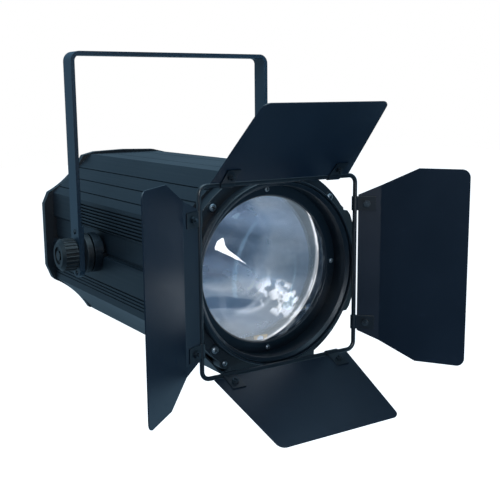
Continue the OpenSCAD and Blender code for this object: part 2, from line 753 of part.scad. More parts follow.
module clamp_knob() color("#12181d") at_pivot() difference() {
    union() {
        rod_x(yoke_half + 0.5, yoke_half + 3, 14);
        rod_x(yoke_half + 3, yoke_half + 19, knob_r - 1);
        translate([yoke_half + 19, 0, 0]) rotate([0, 90, 0]) cylinder(h = 4, r1 = knob_r - 1, r2 = knob_r - 5);
        for (a = [0 : 15 : 345]) rotate([a, 0, 0]) translate([0, 0, knob_r - 1.3])
            rod_x(yoke_half + 3, yoke_half + 19, 1.3, $fn = 24);
    }
    rod_x(yoke_half, yoke_half + 16, stud_r + eps);
    difference() {
        rod_x(yoke_half + 21, yoke_half + 24, 11);
        rod_x(yoke_half + 20, yoke_half + 25, 6);
    }
}

// ---- Nodes ----------------------------------------------------------------

in_frame() yoke_strap();
in_frame() yoke_doublers();
in_frame() yoke_rivets();
in_frame() left() yoke_disc();  // yoke_disc_left
in_frame() yoke_disc();  // yoke_disc_right
in_frame() shell_top();
in_frame() shell_bottom();
in_frame() front_frame();
in_frame() lens_barrel();
in_frame() lens_gasket();
in_frame() lens();
in_frame() lens_retainer();
in_frame() retainer_screws();
in_frame() front_screws();
in_frame() rear_cap();
in_frame() rear_screws();
in_frame() fan_guard();
in_frame() fan_frame();
in_frame() control_panel();
in_frame() display_window();
in_frame() power_inlet();
in_frame() power_outlet();
in_frame() data_sockets();
in_frame() fuse_holder();
in_frame() safety_eye();
in_frame() left() pivot_boss();  // pivot_boss_left
in_frame() pivot_boss();  // pivot_boss_right
in_frame() pivot_studs();
in_frame() bulkheads();
in_frame() light_tunnel();
in_frame() guide_rods();
in_frame() screw_bearing();
in_frame() zoom_motor();
in_frame() driver_board();
in_frame() fan_rotor();
in_frame() lead_screw();
in_frame() carriage_plate();
in_frame() heat_sink();
in_frame() led_array();
in_frame() reflector();
in_frame() menu_button(0);  // button_1
in_frame() menu_button(1);  // button_2
in_frame() menu_button(2);  // button_3
in_frame() menu_button(3);  // button_4
in_frame() door_ring();
in_frame() rod_frame();
in_frame() on_rod(0, top_open) color("#16202a") end_leaf();  // leaf_top
in_frame() on_rod(0, top_open) color("#2b343c") leaf_clips();  // clips_top
in_frame() on_rod(180, bottom_open) color("#16202a") end_leaf();  // leaf_bottom
in_frame() on_rod(180, bottom_open) color("#2b343c") leaf_clips();  // clips_bottom
in_frame() on_rod(-90, left_open) color("#16202a") side_leaf();  // leaf_left
in_frame() on_rod(-90, left_open) color("#2b343c") leaf_clips();  // clips_left
in_frame() on_rod(90, right_open) color("#16202a") side_leaf();  // leaf_right
in_frame() on_rod(90, right_open) color("#2b343c") leaf_clips();  // clips_right
in_frame() on_rod(0, top_open) color("#8a939c") leaf_screws();  // leaf_screws_top
in_frame() on_rod(180, bottom_open) color("#8a939c") leaf_screws();  // leaf_screws_bottom
in_frame() on_rod(-90, left_open) color("#8a939c") leaf_screws();  // leaf_screws_left
in_frame() on_rod(90, right_open) color("#8a939c") leaf_screws();  // leaf_screws_right
in_frame() left() clamp_knob();  // knob_left
in_frame() clamp_knob();  // knob_right
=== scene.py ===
"""Looks of a long studio spotlight with a condenser lens, barn doors and a yoke.

Every length is in metres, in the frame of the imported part: the origin is the bolt hole on
top of the yoke, -Y is the way the light points and +Z is up.
"""

import json
import math

import bmesh
import bpy
from mathutils import Matrix, Vector


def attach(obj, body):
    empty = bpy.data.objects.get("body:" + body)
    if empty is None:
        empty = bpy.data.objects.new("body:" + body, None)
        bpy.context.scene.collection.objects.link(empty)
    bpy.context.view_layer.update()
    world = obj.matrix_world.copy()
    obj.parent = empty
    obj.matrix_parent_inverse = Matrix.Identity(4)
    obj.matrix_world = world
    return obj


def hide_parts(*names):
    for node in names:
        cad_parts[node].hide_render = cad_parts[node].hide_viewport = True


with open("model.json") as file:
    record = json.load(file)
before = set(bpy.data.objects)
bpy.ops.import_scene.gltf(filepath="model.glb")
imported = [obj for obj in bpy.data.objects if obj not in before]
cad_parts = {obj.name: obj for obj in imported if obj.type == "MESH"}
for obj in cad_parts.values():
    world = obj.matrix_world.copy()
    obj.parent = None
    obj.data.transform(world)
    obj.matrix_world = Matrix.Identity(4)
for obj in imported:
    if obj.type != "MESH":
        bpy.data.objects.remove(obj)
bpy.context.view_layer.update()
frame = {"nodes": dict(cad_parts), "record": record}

MM = 0.001
AXIS = Vector((0.0, -0.247, -0.247))  # the lens axis, in the plane of the rod frame
PIVOT = Vector((0.0, 0.0, -0.247))  # the tilt axis


def at(x, y, z):
    """A place in millimetres, from where the lens axis crosses the plane of the rod frame."""
    return AXIS + Vector((x, y, z)) * MM


def linear(r, g, b):
    """A colour given as it looks on a screen, from 0 to 255, as the linear colour shaders use."""
    out = []
    for value in (r, g, b):
        value /= 255
        out.append(value / 12.92 if value <= 0.04045 else ((value + 0.055) / 1.055) ** 2.4)
    return (*out, 1.0)


def linked(name, data):
    """A new object in the scene."""
    thing = bpy.data.objects.new(name, data)
    bpy.context.scene.collection.objects.link(thing)
    return thing


# ---- Camera ---------------------------------------------------------------

CAMERA_AT = at(-525.86, -752.96, 193.68)
CAMERA_AZIMUTH, CAMERA_HEIGHT, CAMERA_ROLL = (math.radians(a) for a in (-32.775, 10.313, -0.534))
LENS_MM = 61.505


def make_camera():
    level = math.cos(CAMERA_HEIGHT)
    side, forward = math.sin(CAMERA_AZIMUTH) * level, -math.cos(CAMERA_AZIMUTH) * level
    back = Vector((side, forward, math.sin(CAMERA_HEIGHT)))
    right = (-back).cross(Vector((0, 0, 1))).normalized()
    up = right.cross(-back)
    tilted_right = right * math.cos(CAMERA_ROLL) + up * math.sin(CAMERA_ROLL)
    tilted_up = up * math.cos(CAMERA_ROLL) - right * math.sin(CAMERA_ROLL)
    data = bpy.data.cameras.new("camera")
    data.lens = LENS_MM
    data.sensor_width = 36
    data.clip_start = 0.01
    camera = linked("camera", data)
    turn = Matrix((tilted_right, tilted_up, back)).transposed().to_4x4()
    camera.matrix_world = Matrix.Translation(CAMERA_AT) @ turn
    bpy.context.scene.camera = camera


# ---- Shader maths ---------------------------------------------------------


def socket_of(node, key):
    """An input by its number, written _0 and so on, or by its name, with _ for a space."""
    return node.inputs[int(key[1:]) if key[0] == "_" and key[1:].isdigit() else key.replace("_", " ")]


class Sock:
    """An output socket that takes part in Python expressions."""

    def __init__(self, tree, link):
        self.tree = tree
        self.link = link

    def node(self, kind, settings=None, output=0, **inputs):
        """Adds a node of any type, with its settings first and then its sockets."""
        made = self.tree.nodes.new(kind)
        for key, value in (settings or {}).items():
            if key == "stops":
                ramp = made.color_ramp
                while len(ramp.elements) < len(value):
                    ramp.elements.new(0.5)
                for element, (place, colour) in zip(ramp.elements, value):
                    element.position = place
                    element.color = colour
            else:
                setattr(made, key, value)
        for key, value in inputs.items():
            socket = socket_of(made, key)
            if isinstance(value, Sock):
                self.tree.links.new(value.link, socket)
            else:
                socket.default_value = value
        return Sock(self.tree, made.outputs[output])

    def math(self, operation, *values):
        numbered = {f"_{i}": value for i, value in enumerate(values)}
        return self.node("ShaderNodeMath", {"operation": operation}, **numbered)

    def __add__(self, other):
        return self.math("ADD", self, other)

    __radd__ = __add__

    def __mul__(self, other):
        return self.math("MULTIPLY", self, other)

    __rmul__ = __mul__

    def __sub__(self, other):
        return self.math("SUBTRACT", self, other)

    def __rsub__(self, other):
        return self.math("SUBTRACT", other, self)

    def __truediv__(self, other):
        return self.math("DIVIDE", self, other)

    def __pow__(self, other):
        return self.math("POWER", self, other)

    def between(self, low, high, out_low=0.0, out_high=1.0):
        """Maps low..high to out_low..out_high, with smooth ends."""
        return self.node(
            "ShaderNodeMapRange", {"interpolation_type": "SMOOTHSTEP"},
            _0=self, _1=low, _2=high, _3=out_low, _4=out_high,
        )

    def mix(self, low, high):
        """A colour from low to high as this goes from 0 to 1."""
        return self.node("ShaderNodeMix", {"data_type": "RGBA"}, 2, _0=self, _6=low, _7=high)

    def stretched(self, x, y, z):
        return self.node("ShaderNodeMapping", Vector=self, Scale=(x, y, z))

    def noise(self, scale, detail=3.0, roughness=0.55):
        return self.node("ShaderNodeTexNoise", Vector=self, Scale=scale, Detail=detail, Roughness=roughness)

    def parts(self):
        made = self.tree.nodes.new("ShaderNodeSeparateXYZ")
        self.tree.links.new(self.link, made.inputs[0])
        return [Sock(self.tree, out) for out in made.outputs]


def new_material(name, look, **constants):
    """look(place, set_socket) adds what varies; constants are set on the shader itself."""
    material = bpy.data.materials.new(name)
    material.use_nodes = True
    tree = material.node_tree
    shader = tree.nodes["Principled BSDF"]
    for key, value in constants.items():
        shader.inputs[key.replace("_", " ")].default_value = value
    place = Sock(tree, tree.nodes.new("ShaderNodeTexCoord").outputs["Object"])

    def set_socket(key, value):
        tree.links.new(value.link, shader.inputs[key])

    look(place, set_socket)
    return material


def bumped(place, height, strength, distance):
    return place.node("ShaderNodeBump", Height=height, Strength=strength, Distance=distance)


# ---- Finishes -------------------------------------------------------------


def powder_coat(name, dark, light, rough, peel=0.12):
    """Satin paint: cloudy colour, uneven gloss, orange peel and a few rubbed marks."""

    def look(place, put):
        cloud = place.noise(9.0, 4.0)
        rubbed = place.stretched(1.0, 0.35, 1.0).noise(70.0, 5.0, 0.7).between(0.60, 0.74)
        put("Base Color", (cloud * 0.8 + rubbed * 0.35).mix(dark, light))
        put("Roughness", cloud * 0.16 + rubbed * 0.1 + (rough - 0.08))
        grain = place.noise(1400.0, 2.0)
        put("Normal", bumped(place, grain, peel, 0.0004))

    return new_material(name, look)


def extruded_metal(name, dark, light, rough, metal):
    """Anodised extrusion: die lines that run along the housing, and handling marks."""

    def look(place, put):
        lines = place.stretched(1.0, 0.01, 1.0).noise(420.0, 3.0, 0.6)
        cloud = place.noise(7.0, 4.0)
        marks = place.stretched(1.0, 0.5, 1.0).noise(55.0, 6.0, 0.72).between(0.62, 0.76)
        put("Base Color", (cloud * 0.6 + lines * 0.3 + marks * 0.3 - 0.1).mix(dark, light))
        put("Roughness", lines * 0.14 + cloud * 0.14 + (rough - 0.12))
        put("Normal", bumped(place, lines, 0.10, 0.0004))

    return new_material(name, look, Metallic=metal)


def moulded_plastic(name, dark, light, rough):
    """Fine spark-eroded grain, with faint clouds in colour and gloss."""

    def look(place, put):
        grain = place.noise(2200.0, 2.0)
        cloud = place.noise(24.0, 3.0)
        put("Base Color", cloud.mix(dark, light))
        put("Roughness", cloud * 0.14 + (rough - 0.07))
        put("Normal", bumped(place, grain, 0.18, 0.0003))

    return new_material(name, look)


def bare_metal(name, dark, light, rough, stretch=(1.0, 1.0, 1.0), metal=1.0):
    """Plated or bare metal: brush marks drawn out by stretch, and stains."""

    def look(place, put):
        brushed = place.stretched(*stretch).noise(160.0, 4.0, 0.6)
        stain = place.noise(40.0, 3.0).between(0.35, 0.7)
        put("Base Color", (brushed * 0.5 + stain * 0.5).mix(dark, light))
        put("Roughness", brushed * 0.16 + stain * 0.1 + (rough - 0.1))

    return new_material(name, look, Metallic=metal)


finishes = {
    "leaf": powder_coat("leaf_paint", linear(9, 20, 32), linear(18, 35, 53), 0.36, 0.1),
    "yoke": powder_coat("yoke_paint", linear(22, 42, 57), linear(34, 60, 79), 0.42),
    "rod": powder_coat("rod_paint", linear(13, 21, 28), linear(24, 35, 45), 0.32),
    "shell": extruded_metal("housing_anodised", linear(12, 23, 32), linear(23, 39, 51), 0.44, 0.35),
    "frame": powder_coat("casting_paint", linear(11, 19, 26), linear(21, 33, 43), 0.4),
    "barrel": extruded_metal("barrel_anodised", linear(13, 24, 33), linear(26, 42, 54), 0.32, 0.3),
    "boss": extruded_metal("pivot_anodised", linear(18, 28, 36), linear(30, 44, 55), 0.36, 0.4),
    "plastic": moulded_plastic("black_moulding", linear(10, 16, 21), linear(20, 29, 36), 0.46),
    "grey_plastic": moulded_plastic("grey_moulding", linear(50, 55, 60), linear(66, 72, 78), 0.45),
    "zinc": bare_metal("zinc_plate", linear(92, 102, 112), linear(160, 169, 177), 0.36, metal=0.6),
    "dark_zinc": bare_metal("blackened_steel", linear(24, 32, 40), linear(62, 74, 84), 0.42, metal=0.5),
    "steel": bare_metal("ground_steel", linear(150, 156, 162), linear(196, 200, 205), 0.22, (1, 0.05, 1)),
    "brass": bare_metal("brass", linear(150, 112, 52), linear(206, 168, 96), 0.28),
    "bright": bare_metal("bright_aluminium", linear(196, 202, 210), linear(232, 236, 242), 0.2, (1, 1, 0.1)),
    "sheet": bare_metal("plain_aluminium", linear(130, 136, 142), linear(176, 182, 188), 0.4),
    "rubber": moulded_plastic("black_rubber", linear(9, 10, 11), linear(16, 17, 18), 0.7),
    "board": moulded_plastic("green_board", linear(16, 66, 40), linear(26, 92, 56), 0.45),
    "phosphor": moulded_plastic("phosphor", linear(214, 178, 60), linear(238, 208, 98), 0.5),
}


# Where the rim of the flat back of the lens shows through the dome, in millimetres from the lens
# axis: its middle and radius. The lens's emission paints a highlight along it and painted shade beyond it.
RIM_X, RIM_Z, RIM_RADIUS = -45.6, 22.1, 112.5
BASE_GLOW = 0.44
# Soft ellipses of painted light in the lens's emission, in millimetres from the lens axis: x, z, half
# width, half height, turn in degrees, softness, and how much brighter than the rest; a negative
# value paints shade.
GLOWS = [
    (18, 46, 42, 34, 20, 0.6, -0.03),
    (-58, 42, 42, 50, -20, 0.6, -0.56),
    (42, 4, 34, 16, 10, 0.5, -0.08),
    (-62, -30, 42, 7, -2, 0.3, -0.34),
    (-52, -8, 28, 9, 4, 0.4, 0.22),
    (-10, -60, 54, 26, 10, 0.5, 0.16),
]
# Arcs of painted light in the lens's emission: middle x and z, radius and width, the ellipse that each
# is seen in, and its brightness.
GLOW_ARCS = [
    ((-36, 2, 24, 4), (-16, -12, 18, 20, 0, 0.5), 0.24),
    ((-44, 6, 48, 6), (-16, -38, 26, 22, 0, 0.5), 0.34),
]
# Painted highlight patches in the lens's emission: a field of small white blobs inside one ellipse.
PAINTED_HIGHLIGHT_PATCHES = (11, -32, 28, 13, -46, 0.5)
# Colours of the painted glow, from painted shade to painted highlight.
GLOW_COLOURS = [
    (0.0, linear(10, 28, 42)), (0.3, linear(54, 74, 88)), (0.62, linear(140, 148, 154)),
    (0.8, linear(172, 182, 192)), (1.0, linear(236, 240, 244)),
]
# Painted shade beyond the rim, and the white of the painted highlights.
PAINTED_SHADE_BEYOND_RIM = linear(26, 36, 46)
PAINTED_HIGHLIGHT_WHITE = (1.5, 1.55, 1.6, 1.0)


def glass_look(place, put):
    """Clear glass with a film of dust, its emission painted with soft light, painted shade and painted
    highlights.
    """
    film = place.noise(14.0, 4.0, 0.6).between(0.35, 0.75)
    dust = place.noise(300.0, 3.0, 0.7).between(0.66, 0.8)
    put("Base Color", film.mix(linear(232, 238, 250), linear(246, 249, 255)))
    put("Roughness", film * 0.035 + dust * 0.12 + 0.012)

    x, _, z = place.parts()
    across_mm, up_mm = x * 1000, (z - AXIS.z) * 1000
    wave = place.noise(22.0, 2.0)
    side = across_mm + wave * 14 - 7
    high = up_mm + wave * 10 - 5

    def spot(cx, cz, rx, rz, turn, soft):
        """1 inside an ellipse in millimetres, 0 outside it."""
        c, s = math.cos(math.radians(turn)), math.sin(math.radians(turn))
        along = ((side - cx) * c + (high - cz) * s) / rx
        across = ((high - cz) * c - (side - cx) * s) / rz
        return (along * along + across * across).between(1 + soft, 1 - soft)

    def arc(cx, cz, size, width):
        """1 on a circle, 0 at width millimetres from it."""
        away = ((side - cx) * (side - cx) + (high - cz) * (high - cz)) ** 0.5
        return (away - size).math("ABSOLUTE", away - size).between(width, 0.0)

    # Painted light and painted shade, from the ellipses, the arcs and the leaning streaks below.
    painted_glow = BASE_GLOW
    for *ellipse, brightness in GLOWS:
        painted_glow = painted_glow + spot(*ellipse) * brightness
    for circle, ellipse, brightness in GLOW_ARCS:
        painted_glow = painted_glow + arc(*circle) * spot(*ellipse) * brightness
    leaning = place.node("ShaderNodeMapping", Vector=place, Rotation=(0, 0.9, 0), Scale=(1, 1, 4))
    painted_glow = painted_glow + leaning.noise(24.0, 4.0, 0.65) * 0.26 - 0.13
    shade = painted_glow.node("ShaderNodeValToRGB", {"stops": GLOW_COLOURS}, Fac=painted_glow)

    # Painted highlight patches.
    painted_highlight_blobs = spot(*PAINTED_HIGHLIGHT_PATCHES) * place.noise(70.0, 2.0, 0.4).between(0.46, 0.56)
    # A painted highlight along the rim circle, on the right, and painted shade beyond it.
    edge = ((across_mm - RIM_X) ** 2.0 + (up_mm - RIM_Z) ** 2.0) ** 0.5
    rim = edge.between(RIM_RADIUS - 4, RIM_RADIUS - 1) * edge.between(RIM_RADIUS + 2, RIM_RADIUS)
    rim = rim * across_mm.between(-20.0, 20.0) * place.noise(40.0, 2.0).between(0.38, 0.52, 0.5, 1.0)
    painted_shade_beyond = edge.between(RIM_RADIUS, RIM_RADIUS + 2) * place.noise(60.0, 2.0).between(0.7, 0.5)
    white = painted_highlight_blobs + rim
    shade = painted_shade_beyond.mix(shade, PAINTED_SHADE_BEYOND_RIM)
    # The emission: the painted highlights (patches and rim) over the painted glow and painted shade.
    put("Emission Color", white.math("MINIMUM", white, 1.0).mix(shade, PAINTED_HIGHLIGHT_WHITE))


# The dome's glass, its emission painted with light and shade.
lens_glass = new_material(
    "lens_glass", glass_look, IOR=1.5, Transmission_Weight=1.0, Emission_Strength=0.46,
)


def display_look(place, put):
    haze = place.noise(60.0, 3.0)
    put("Base Color", haze.mix(linear(10, 18, 26), linear(18, 30, 42)))
    put("Roughness", haze * 0.1 + 0.08)


display_glass = new_material("display_window", display_look)


# ---- Pieces made from the frame -------------------------------------------

NODE_BODY = {node: body for body, nodes in frame["record"]["behaviour"]["bodies"].items() for node in nodes}


def as_piece(name, mesh, material, body, nodes):
    """Sets a mesh on its body in place of nodes; material is None if the mesh has its own."""
    piece = linked(name, mesh)
    if material:
        mesh.materials.clear()
        mesh.materials.append(material)
    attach(piece, body)
    if nodes:
        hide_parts(*nodes)


def baked(piece):
    """The piece's mesh with its modifiers worked in."""
    bpy.context.view_layer.update()
    evaluated = piece.evaluated_get(bpy.context.evaluated_depsgraph_get())
    mesh = bpy.data.meshes.new_from_object(evaluated)
    bpy.data.objects.remove(piece)
    return mesh


SHARP = math.radians(28)  # edges that turn more than this are broken, and stay sharp in shading


def eased(node, width, finish):
    """A copy of a machined piece with its edges broken, so that they catch the light."""
    source = frame["nodes"][node]
    mesh = bpy.data.meshes.new(node + "_work")
    work = bmesh.new()
    work.from_mesh(source.data)
    bmesh.ops.remove_doubles(work, verts=work.verts, dist=2e-6)
    bmesh.ops.dissolve_limit(work, angle_limit=math.radians(0.5), verts=work.verts, edges=work.edges)
    for face in work.faces:
        face.smooth = True
    for edge in work.edges:
        edge.smooth = edge.calc_face_angle(0) < SHARP
    work.to_mesh(mesh)
    work.free()
    piece = linked(node + "_work", mesh)
    bevel = piece.modifiers.new("ease", "BEVEL")
    bevel.width = width * MM
    bevel.segments = 2
    bevel.limit_method = "ANGLE"
    bevel.angle_limit = SHARP
    bevel.use_clamp_overlap = True
    weighted = piece.modifiers.new("flat faces", "WEIGHTED_NORMAL")
    weighted.mode = "FACE_AREA"
    weighted.weight = 100
    weighted.keep_sharp = True
    mesh = baked(piece)
    as_piece(node + "_eased", mesh, finishes[finish], NODE_BODY[node], [node])


# The width of each piece's broken edges in millimetres, and its finish.
EASED = {
    "yoke_strap": (0.8, "yoke"), "yoke_doublers": (0.4, "yoke"), "yoke_disc_left": (0.8, "plastic"),
    "yoke_disc_right": (0.8, "plastic"), "pivot_boss_left": (0.8, "boss"), "pivot_boss_right": (0.8, "boss"),
    "shell_top": (0.35, "shell"), "shell_bottom": (0.35, "shell"), "front_frame": (0.8, "frame"),
    "rear_cap": (0.8, "frame"), "lens_barrel": (0.4, "barrel"), "lens_retainer": (0.3, "barrel"),
    "door_ring": (0.3, "barrel"), "leaf_top": (0.35, "leaf"), "leaf_bottom": (0.35, "leaf"),
    "leaf_left": (0.35, "leaf"), "leaf_right": (0.35, "leaf"), "knob_left": (0.6, "plastic"),
    "knob_right": (0.6, "plastic"), "control_panel": (0.4, "plastic"),
    "clips_top": (0.25, "rod"), "clips_bottom": (0.25, "rod"), "clips_left": (0.25, "rod"),
    "clips_right": (0.25, "rod"), "fan_frame": (0.4, "plastic"), "fuse_holder": (0.4, "plastic"),
    "power_inlet": (0.4, "plastic"), "power_outlet": (0.4, "grey_plastic"), "fan_rotor": (0.3, "plastic"),
    "button_1": (0.5, "grey_plastic"), "button_2": (0.5, "grey_plastic"),
    "button_3": (0.5, "grey_plastic"), "button_4": (0.5, "grey_plastic"),
}
# Pieces whose own mesh is kept, with their finishes.
PLAIN = {
    "rod_frame": "rod", "fan_guard": "rod", "data_sockets": "dark_zinc",
    "safety_eye": "zinc", "pivot_studs": "zinc", "bulkheads": "sheet", "light_tunnel": "bright",
    "guide_rods": "steel", "screw_bearing": "brass", "zoom_motor": "plastic", "driver_board": "board",
    "lead_screw": "steel", "carriage_plate": "sheet", "heat_sink": "sheet", "led_array": "phosphor",
    "reflector": "bright", "lens_gasket": "rubber",
}


def finish_frame():
    for node, (width, finish) in EASED.items():
        eased(node, width, finish)
    looks = {node: finishes[finish] for node, finish in PLAIN.items()}
    looks["display_window"] = display_glass
    for node, material in looks.items():
        materials = frame["nodes"][node].data.materials
        materials.clear()
        materials.append(material)


# ---- Fasteners ------------------------------------------------------------

CROSS_HEAD, NUT, WASHER, RIVET = range(4)
NUT_HEIGHT, THREAD_HEIGHT = 0.75, 1.36  # for a nut of unit radius


def tree_node(tree, kind, settings=None, **inputs):
    """Adds a geometry node, with its settings first and then its sockets."""
    made = tree.nodes.new(kind)
    for key, value in (settings or {}).items():
        setattr(made, key, value)
    for key, value in inputs.items():
        socket = socket_of(made, key)
        if isinstance(value, bpy.types.NodeSocket):
            tree.links.new(value, socket)
        else:
            socket.default_value = value
    return made


def fastener_tree():
    """Heads, nuts, washers and rivets of unit radius, set on points by their attributes."""
    tree = bpy.data.node_groups.new("fasteners", "GeometryNodeTree")
    tree.interface.new_socket("Points", in_out="INPUT", socket_type="NodeSocketGeometry")
    for name in ("Recess Width", "Recess Depth", "Dome Height"):
        tree.interface.new_socket(name, in_out="INPUT", socket_type="NodeSocketFloat")
    tree.interface.new_socket("Turn Seed", in_out="INPUT", socket_type="NodeSocketInt")
    for name in ("Zinc", "Dark Washer And Recess Shade"):
        tree.interface.new_socket(name, in_out="INPUT", socket_type="NodeSocketMaterial")
    tree.interface.new_socket("Fasteners", in_out="OUTPUT", socket_type="NodeSocketGeometry")
    given = tree.nodes.new("NodeGroupInput").outputs
    out = tree.nodes.new("NodeGroupOutput")

    def add(kind, settings=None, **inputs):
        return tree_node(tree, kind, settings, **inputs)

    def shifted(mesh, height):
        return add("GeometryNodeTransform", Geometry=mesh, Translation=(0, 0, height)).outputs[0]

    def painted(mesh, material, **chosen):
        return add("GeometryNodeSetMaterial", Geometry=mesh, Material=given[material], **chosen).outputs[0]

    def joined(*meshes):
        join = tree.nodes.new("GeometryNodeJoinGeometry")
        for mesh in meshes:
            tree.links.new(mesh, join.inputs[0])
        return join.outputs[0]

    flat = add("ShaderNodeCombineXYZ", X=1.0, Y=1.0, Z=given["Dome Height"]).outputs[0]
    ball = add("GeometryNodeMeshUVSphere", Segments=36, Rings=18, Radius=1.0).outputs[0]
    dome = add("GeometryNodeTransform", Geometry=ball, Scale=flat).outputs[0]
    slots = []
    width, depth = given["Recess Width"], given["Recess Depth"]
    for turn in (0.0, math.pi / 2):
        size = add("ShaderNodeCombineXYZ", X=1.2, Y=width, Z=depth).outputs[0]
        bar = add("GeometryNodeMeshCube", Size=size).outputs[0]
        up = add("ShaderNodeCombineXYZ", Z=given["Dome Height"]).outputs[0]
        turned_bar = add("GeometryNodeTransform", Geometry=bar, Translation=up, Rotation=(0, 0, turn))
        slots.append(turned_bar.outputs[0])
    # The recess walls take the dark material from the slot bars: painted shade in the cross recess.
    cut = add("GeometryNodeMeshBoolean", {"operation": "DIFFERENCE"}, _0=painted(dome, "Zinc"))
    for slot in slots:
        tree.links.new(painted(slot, "Dark Washer And Recess Shade"), cut.inputs[1])
    hexagon = add("GeometryNodeMeshCylinder", Vertices=6, Radius=1.0, Depth=NUT_HEIGHT).outputs[0]
    thread = add("GeometryNodeMeshCylinder", Vertices=24, Radius=0.5, Depth=THREAD_HEIGHT).outputs[0]
    nut = joined(shifted(hexagon, NUT_HEIGHT / 2), shifted(thread, THREAD_HEIGHT / 2))
    disc = add(
        "GeometryNodeMeshCone", Vertices=40, Radius_Top=0.93, Radius_Bottom=1.0, Depth=0.2,
    ).outputs[0]
    shapes = [cut.outputs[0], painted(nut, "Zinc"), disc, painted(dome, "Zinc")]

    def attribute(name, data_type):
        return add("GeometryNodeInputNamedAttribute", {"data_type": data_type}, Name=name).outputs[0]

    facing = attribute("facing", "FLOAT_VECTOR")
    size = attribute("size", "FLOAT")
    kind = attribute("kind", "INT")
    aimed = add("FunctionNodeAlignRotationToVector", {"axis": "Z"}, Vector=facing).outputs[0]
    spin = add(
        "FunctionNodeRandomValue", {"data_type": "FLOAT"}, _2=0.0, _3=math.tau, Seed=given["Turn Seed"],
    ).outputs[1]
    spun = add("ShaderNodeCombineXYZ", Z=spin).outputs[0]
    sets = []
    for number, shape in enumerate(shapes):
        chosen = add(
            "FunctionNodeCompare", {"data_type": "INT", "operation": "EQUAL"}, _2=kind, _3=number,
        ).outputs[0]
        placed = add(
            "GeometryNodeInstanceOnPoints", Points=given["Points"], Selection=chosen, Instance=shape,
            Rotation=aimed, Scale=size,
        ).outputs[0]
        turned_set = add("GeometryNodeRotateInstances", Instances=placed, Rotation=spun).outputs[0]
        sets.append(add(
            "GeometryNodeStoreNamedAttribute", {"data_type": "BOOLEAN", "domain": "INSTANCE"},
            Geometry=turned_set, Name="is washer", Value=number == WASHER,
        ).outputs[0])
    real = add("GeometryNodeRealizeInstances", Geometry=joined(*sets)).outputs[0]
    tree.links.new(painted(real, "Dark Washer And Recess Shade", Selection=attribute("is washer", "BOOLEAN")), out.inputs[0])
    return tree


def fasten(tree, node, places, metal, seed):
    """One piece for a node's fasteners: places are (point, facing, radius in mm, kind)."""
    mesh = bpy.data.meshes.new(node + "_points")
    mesh.from_pydata([point for point, _, _, _ in places], [], [])
    facing = mesh.attributes.new("facing", "FLOAT_VECTOR", "POINT")
    facing.data.foreach_set("vector", [part for _, way, _, _ in places for part in way])
    size = mesh.attributes.new("size", "FLOAT", "POINT")
    size.data.foreach_set("value", [radius * MM for _, _, radius, _ in places])
    kind = mesh.attributes.new("kind", "INT", "POINT")
    kind.data.foreach_set("value", [which for _, _, _, which in places])
    piece = linked(node + "_points", mesh)
    nodes = piece.modifiers.new("fasteners", "NODES")
    nodes.node_group = tree
    values = {
        "Recess Width": 0.26, "Recess Depth": 0.62, "Dome Height": 0.55, "Turn Seed": seed,
        "Zinc": finishes[metal], "Dark Washer And Recess Shade": finishes["rod"],
    }
    for item in tree.interface.items_tree:
        if item.in_out == "INPUT" and item.name in values:
            nodes[item.identifier] = values[item.name]
    mesh = baked(piece)
    mesh.shade_smooth()
    mesh.set_sharp_from_angle(angle=math.radians(35))
    as_piece(node + "_set", mesh, None, NODE_BODY[node], [node])


# Places of the fasteners, in millimetres in the frame that at() uses, unless said otherwise.
CORNER = 77.5  # corner screws of the front frame and the rear cap, across and up
FRAME_FRONT = 16.0  # depth of the front frame's face, under the washers
WASHER_TOP = 1.2
SMALL_SCREW = (-65, -95)  # the one screw of the front frame that is off a corner, across and up
RETAINER_FACE, RETAINER_CIRCLE = 28.0, 90.5  # depth of the lens retainer's face, and its screws' radius
CAP_BACK = 409.0  # depth of the rear cap's back
GUARD_BACK, FAN_HEIGHT, GUARD_HALF = 411.0, 42.0, 41.0  # the fan guard's back, middle and half spacing
HALF_SIDE = 102.5  # from the lens axis to a rod of the rod frame
CLIP_AT, CLIP_SCREW, LEAF_FACE = 70.0, 14.0, 1.8  # along the rod, out along the leaf, and off its middle
ARM_OUT, RIVET_HEIGHTS = 141.0, (28.0, -24.5)  # from the tilt axis
LEAVES = {"top": (0, 45), "bottom": (180, 68), "left": (-90, 27), "right": (90, 43)}  # rod turn, opening


